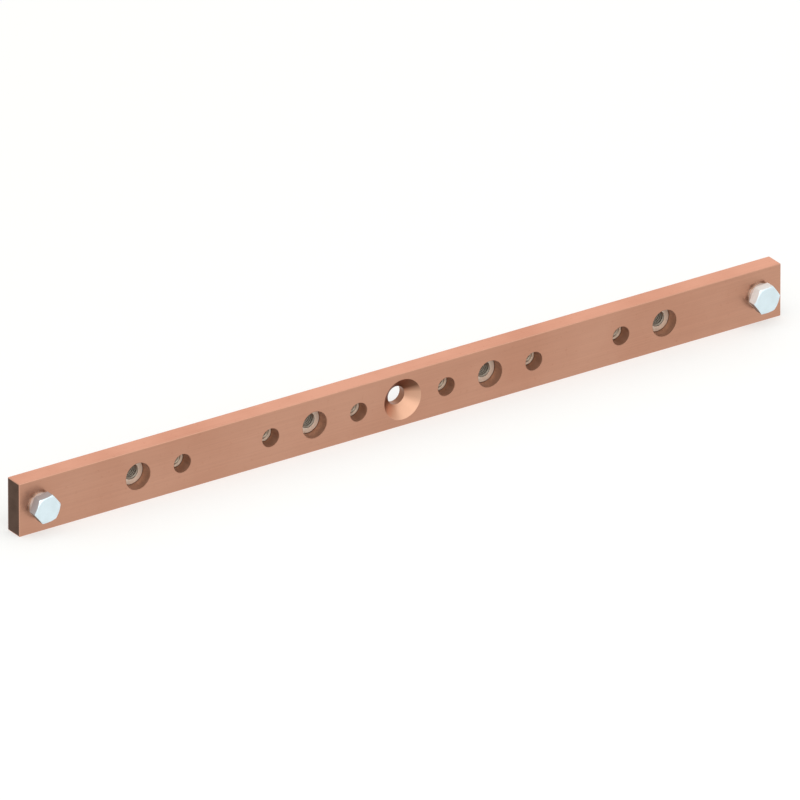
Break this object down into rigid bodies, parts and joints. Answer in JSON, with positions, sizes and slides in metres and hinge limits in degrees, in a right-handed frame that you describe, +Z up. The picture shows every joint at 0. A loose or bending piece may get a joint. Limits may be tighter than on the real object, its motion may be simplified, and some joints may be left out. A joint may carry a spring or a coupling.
{
  "type": "copper busbar",
  "caption": "Flat copper busbar with a countersunk middle fixing hole, pressed-in threaded nuts in large and small holes, and a hexagon bolt with washer at each end.",
  "frame": {"origin": "middle of the fixing hole on the bar's back face", "axes": "+X along the bar to the right, -Y out of the front face, +Z up across the bar's height"},
  "size_m": [0.434, 0.0253, 0.0274],
  "materials": {
    "bar_copper": "bare drawn copper, satin",
    "nut_steel": "turned steel, dull plated",
    "bolt_zinc": "bright blue-white zinc"
  },
  "bodies": {
    "root": {"busbar": "bar_copper", "large_press_nut_1": "nut_steel", "large_press_nut_2": "nut_steel", "large_press_nut_3": "nut_steel", "large_press_nut_4": "nut_steel", "small_press_nut_1": "nut_steel", "small_press_nut_2": "nut_steel", "small_press_nut_3": "nut_steel", "small_press_nut_4": "nut_steel", "small_press_nut_5": "nut_steel", "small_press_nut_6": "nut_steel", "left_washer": "bolt_zinc", "left_end_bolt": "bolt_zinc", "right_washer": "bolt_zinc", "right_end_bolt": "bolt_zinc"}
  },
  "joints": []
}
